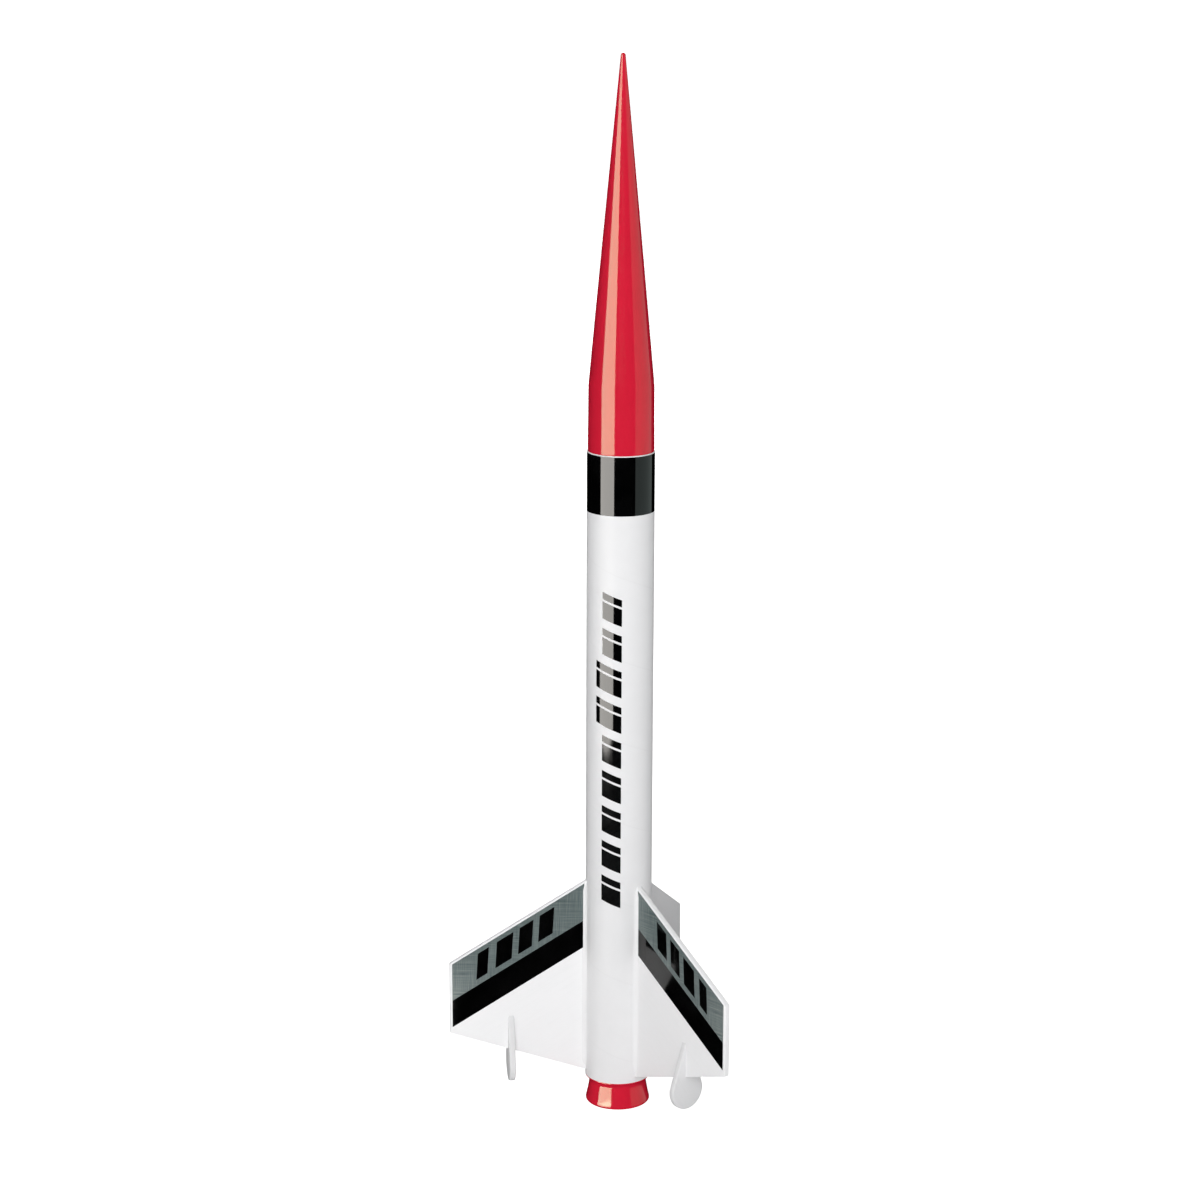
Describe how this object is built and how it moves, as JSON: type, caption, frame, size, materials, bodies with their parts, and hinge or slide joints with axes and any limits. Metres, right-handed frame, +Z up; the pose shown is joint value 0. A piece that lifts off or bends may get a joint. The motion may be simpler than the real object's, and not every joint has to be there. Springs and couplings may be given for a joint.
{
  "type": "model rocket",
  "caption": "Model rocket with a pull-off nose cone, swept fins with teardrop winglets, a flared tail cone, a motor mount with a spring hook, and a packed parachute.",
  "frame": {"origin": "on the rocket's axis, in the plane of the tail cone's rim, on which the rocket stands", "axes": "+Z up the rocket to the nose tip; the printed side faces -Y; fins point to +X-Y, -X-Y and +Y"},
  "size_m": [0.1116, 0.0969, 0.394],
  "materials": {
    "nose_red": "gloss",
    "plug_plastic": "satin",
    "tube_white": "gloss white paint",
    "band_black": "gloss printed film",
    "fin_white": "gloss white paint",
    "decal_print": "brushed silver-grey and black print",
    "glue_white": "gloss white paint",
    "lug_paper": "gloss white paint",
    "tail_red": "gloss",
    "kraft_paper": "matte",
    "ring_card": "matte",
    "spring_steel": "satin",
    "retainer_film": "gloss",
    "anchor_paper": "matte",
    "elastic": "woven, matte",
    "canopy_film": "thin plastic sheet",
    "line_thread": "twisted thread"
  },
  "bodies": {
    "airframe": {"body_tube": "tube_white", "band_decal": "band_black", "tube_graphic": "band_black", "fin_right": "fin_white", "fin_left": "fin_white", "fin_rear": "fin_white", "winglet_right": "fin_white", "winglet_left": "fin_white", "winglet_rear": "fin_white", "fin_decal_right": "decal_print", "fin_decal_left": "decal_print", "glue_fillets": "glue_white", "launch_lug": "lug_paper", "tail_cone": "tail_red", "motor_tube": "kraft_paper", "centring_ring_aft": "ring_card", "centring_ring_fore": "ring_card", "thrust_ring": "ring_card", "hook_retainer": "retainer_film", "hook_shank": "spring_steel", "shock_cord_anchor": "anchor_paper", "shock_cord": "elastic"},
    "nose": {"nose_cone": "nose_red", "nose_base_plug": "plug_plastic", "parachute_canopy": "canopy_film", "shroud_lines": "line_thread"},
    "hook": {"hook_tip": "spring_steel"}
  },
  "joints": [
    {"name": "nose_slide", "type": "slide", "parent": "airframe", "child": "nose", "axis": [0, 0, 1], "range_m": [0, 0.15], "deforming": ["shock_cord"]},
    {"name": "engine_hook_flex", "type": "hinge", "parent": "airframe", "child": "hook", "pos_m": [-0.00836, 0.00483, 0.0237], "axis": [0.5, 0.866, 0], "range_deg": [0, 6.5], "stiffness_Nm_per_rad": 0.5}
  ]
}
